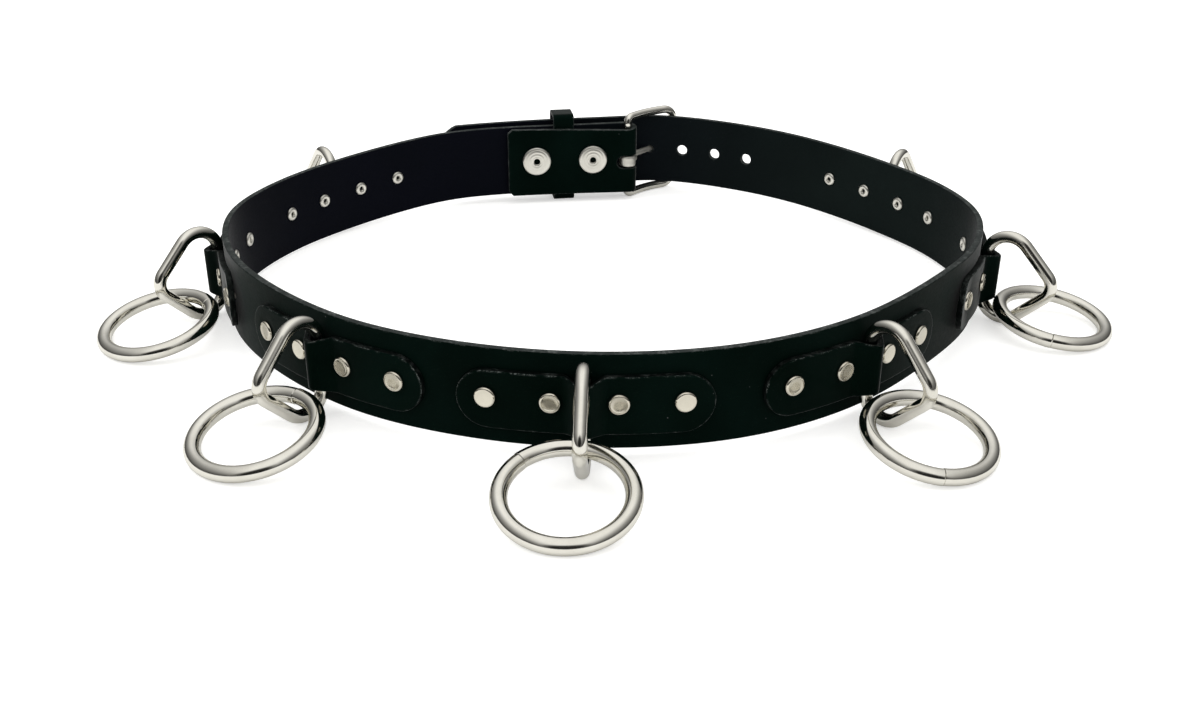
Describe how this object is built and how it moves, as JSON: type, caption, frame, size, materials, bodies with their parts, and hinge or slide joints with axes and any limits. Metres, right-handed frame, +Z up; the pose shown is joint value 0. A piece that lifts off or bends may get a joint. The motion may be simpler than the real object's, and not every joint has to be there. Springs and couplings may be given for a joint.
{
  "type": "punk belt",
  "caption": "Leather belt closed in a loop by a prong buckle, with riveted leather patches that hold D-rings and hanging O-rings.",
  "frame": {"origin": "under the middle of the whole belt, on the surface that it lies on", "axes": "+Z up, -Y towards the front of the belt, +X to the right in the front view; the buckle is at the back"},
  "size_m": [0.4632, 0.399, 0.051],
  "materials": {
    "strap_leather": "smooth semi-gloss black leather",
    "patch_leather": "smooth semi-gloss black leather",
    "nickel": "polished nickel plate"
  },
  "bodies": {
    "root": {"strap": "strap_leather", "keeper": "strap_leather", "buckle_frame": "nickel", "buckle_prong": "nickel", "snap_1": "nickel", "snap_2": "nickel", "ring_patch_1": "patch_leather", "d_ring_1": "nickel", "o_ring_1": "nickel", "rivet_1_1": "nickel", "rivet_1_2": "nickel", "rivet_1_3": "nickel", "rivet_1_4": "nickel", "ring_patch_2": "patch_leather", "d_ring_2": "nickel", "o_ring_2": "nickel", "rivet_2_1": "nickel", "rivet_2_2": "nickel", "rivet_2_3": "nickel", "rivet_2_4": "nickel", "ring_patch_3": "patch_leather", "d_ring_3": "nickel", "o_ring_3": "nickel", "rivet_3_1": "nickel", "rivet_3_2": "nickel", "rivet_3_3": "nickel", "rivet_3_4": "nickel", "ring_patch_4": "patch_leather", "d_ring_4": "nickel", "o_ring_4": "nickel", "rivet_4_1": "nickel", "rivet_4_2": "nickel", "rivet_4_3": "nickel", "rivet_4_4": "nickel", "ring_patch_5": "patch_leather", "d_ring_5": "nickel", "o_ring_5": "nickel", "rivet_5_1": "nickel", "rivet_5_2": "nickel", "rivet_5_3": "nickel", "rivet_5_4": "nickel", "ring_patch_6": "patch_leather", "d_ring_6": "nickel", "o_ring_6": "nickel", "rivet_6_1": "nickel", "rivet_6_2": "nickel", "rivet_6_3": "nickel", "rivet_6_4": "nickel", "ring_patch_7": "patch_leather", "d_ring_7": "nickel", "o_ring_7": "nickel", "rivet_7_1": "nickel", "rivet_7_2": "nickel", "rivet_7_3": "nickel", "rivet_7_4": "nickel"}
  },
  "joints": []
}
